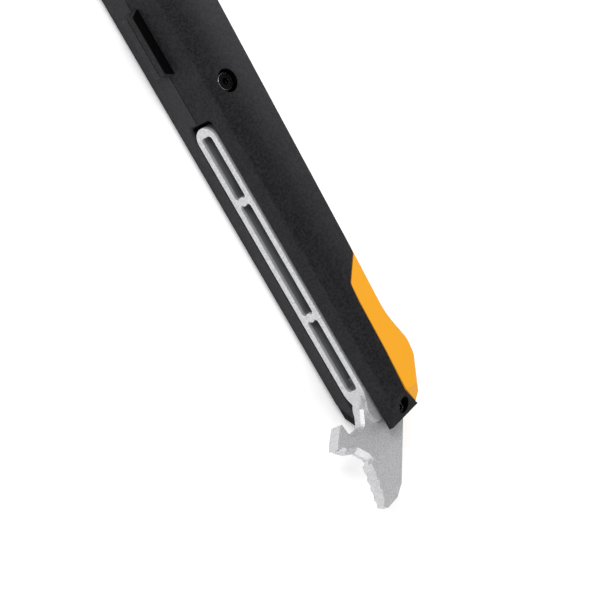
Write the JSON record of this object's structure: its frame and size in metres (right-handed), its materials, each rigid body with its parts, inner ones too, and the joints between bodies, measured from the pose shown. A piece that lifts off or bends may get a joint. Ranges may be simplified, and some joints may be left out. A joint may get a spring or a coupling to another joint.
{
  "type": "snap off knife",
  "caption": "Snap off knife with a black two-shell handle, a screw locked segmented blade, a cast hook and pry tool at the tail and a hinged amber hatch over spare blades.",
  "frame": {"origin": "on the far shell's flat outer face, at mid handle length, behind the front ridge", "axes": "+X toward the nose and the blade's point, +Y out of the front edge toward the tail hook, +Z out of the near side face"},
  "size_m": [0.2671, 0.0459, 0.0255],
  "materials": {
    "black_shell": "fine grained moulded plastic",
    "amber_hatch": "smooth matte moulded plastic",
    "cast_metal": "sand-textured die casting, satin",
    "blade_steel": "ground carbon steel",
    "sheet_steel": "folded sheet steel",
    "dark_screw": "black oxide steel",
    "brass": "turned brass",
    "pin_steel": "ground steel",
    "black_slider": "moulded plastic",
    "grip_black": "soft moulded grip"
  },
  "bodies": {
    "handle": {"near_shell": "black_shell", "far_shell": "black_shell", "tail_tool": "cast_metal", "hatch_pin": "pin_steel", "hatch_spring": "pin_steel", "blade_channel": "sheet_steel", "spare_blades": "blade_steel", "upper_screw": "dark_screw", "nose_screw": "dark_screw", "tail_screw": "dark_screw", "upper_insert": "brass", "nose_insert": "brass", "tail_insert": "brass"},
    "slider": {"blade": "blade_steel", "blade_carrier": "black_slider", "blade_peg": "pin_steel", "clamp_nut": "brass", "slider_plate": "black_slider", "friction_washer": "pin_steel"},
    "wheel": {"lock_wheel": "grip_black", "lock_stud": "pin_steel"},
    "hatch": {"hatch": "amber_hatch"}
  },
  "joints": [
    {"name": "blade_slide", "type": "slide", "parent": "handle", "child": "slider", "axis": [1, 0, 0], "range_m": [-0.047, 0]},
    {"name": "wheel_turn", "type": "hinge", "parent": "slider", "child": "wheel", "pos_m": [0.0605, -0.012, 0.01275], "axis": [0, -1, 0], "range_deg": [-270, 0]},
    {"name": "hatch_hinge", "type": "hinge", "parent": "handle", "child": "hatch", "pos_m": [-0.0443, -0.0068, 0.01275], "axis": [0, 0, 1], "range_deg": [0, 70]}
  ]
}
